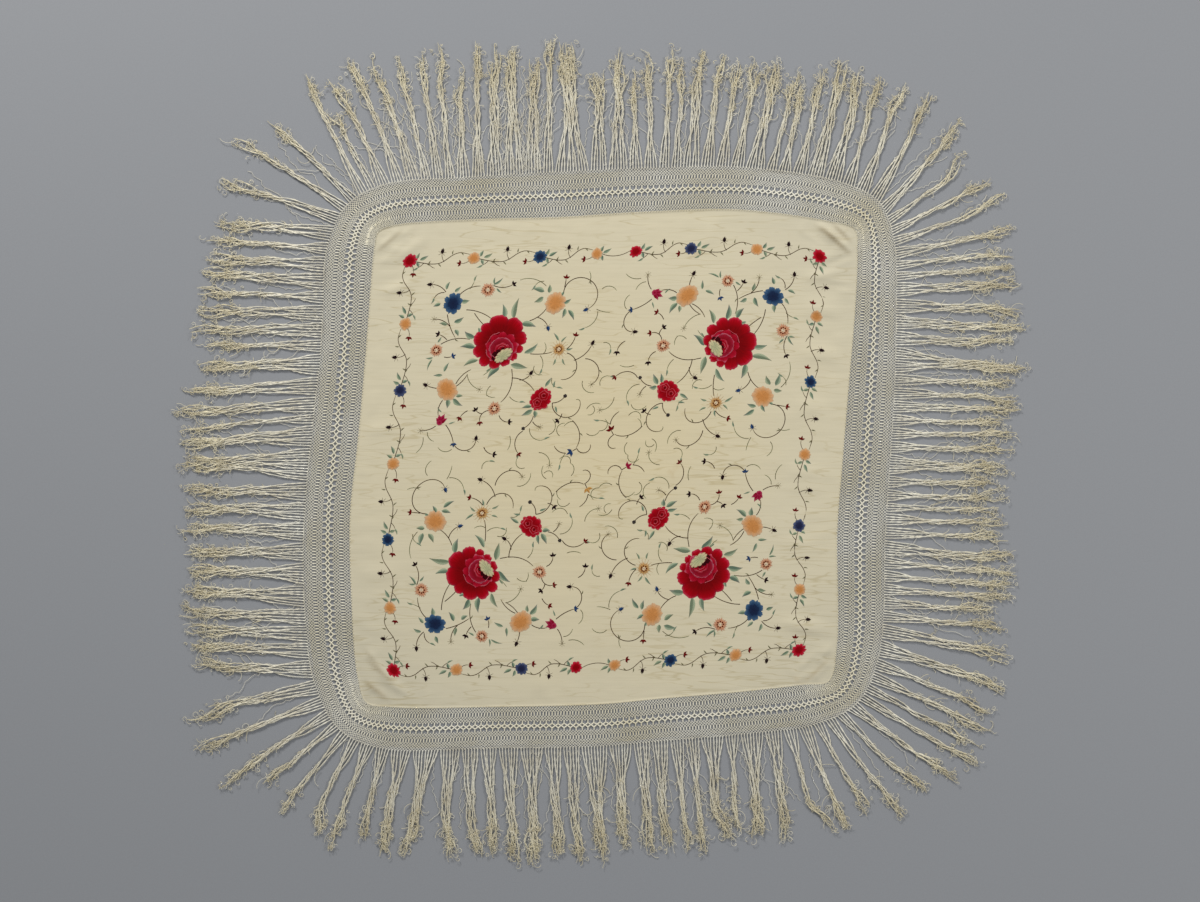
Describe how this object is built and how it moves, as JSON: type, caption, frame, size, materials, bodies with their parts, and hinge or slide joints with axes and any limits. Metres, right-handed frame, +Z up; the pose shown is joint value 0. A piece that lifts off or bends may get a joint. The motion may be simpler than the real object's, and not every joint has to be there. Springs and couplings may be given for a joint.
{
  "type": "embroidered fringed silk shawl",
  "caption": "Square embroidered silk shawl laid flat, with a knotted net border all round and a long tufted fringe that fans out at its corners.",
  "frame": {"origin": "on the surface that the shawl lies on, under the middle of its whole outline", "axes": "+Z up out of the surface, +X across the shawl to the right as seen from above, +Y towards its upper edge"},
  "size_m": [2.2952, 2.222, 0.0074],
  "materials": {
    "silk": "cream silk, plain weave, soft sheen",
    "net": "cream silk cord, hand knotted",
    "fringe": "cream silk strands, unravelling and yellowed at the tips",
    "embroidery": "satin-stitched silk floss in crimson, blue, peach, green and brown"
  },
  "bodies": {
    "root": {"silk_panel": "silk", "net_upper": "net", "net_right": "net", "net_lower": "net", "net_left": "net", "fringe_upper": "fringe", "fringe_right": "fringe", "fringe_lower": "fringe", "fringe_left": "fringe"}
  },
  "joints": []
}
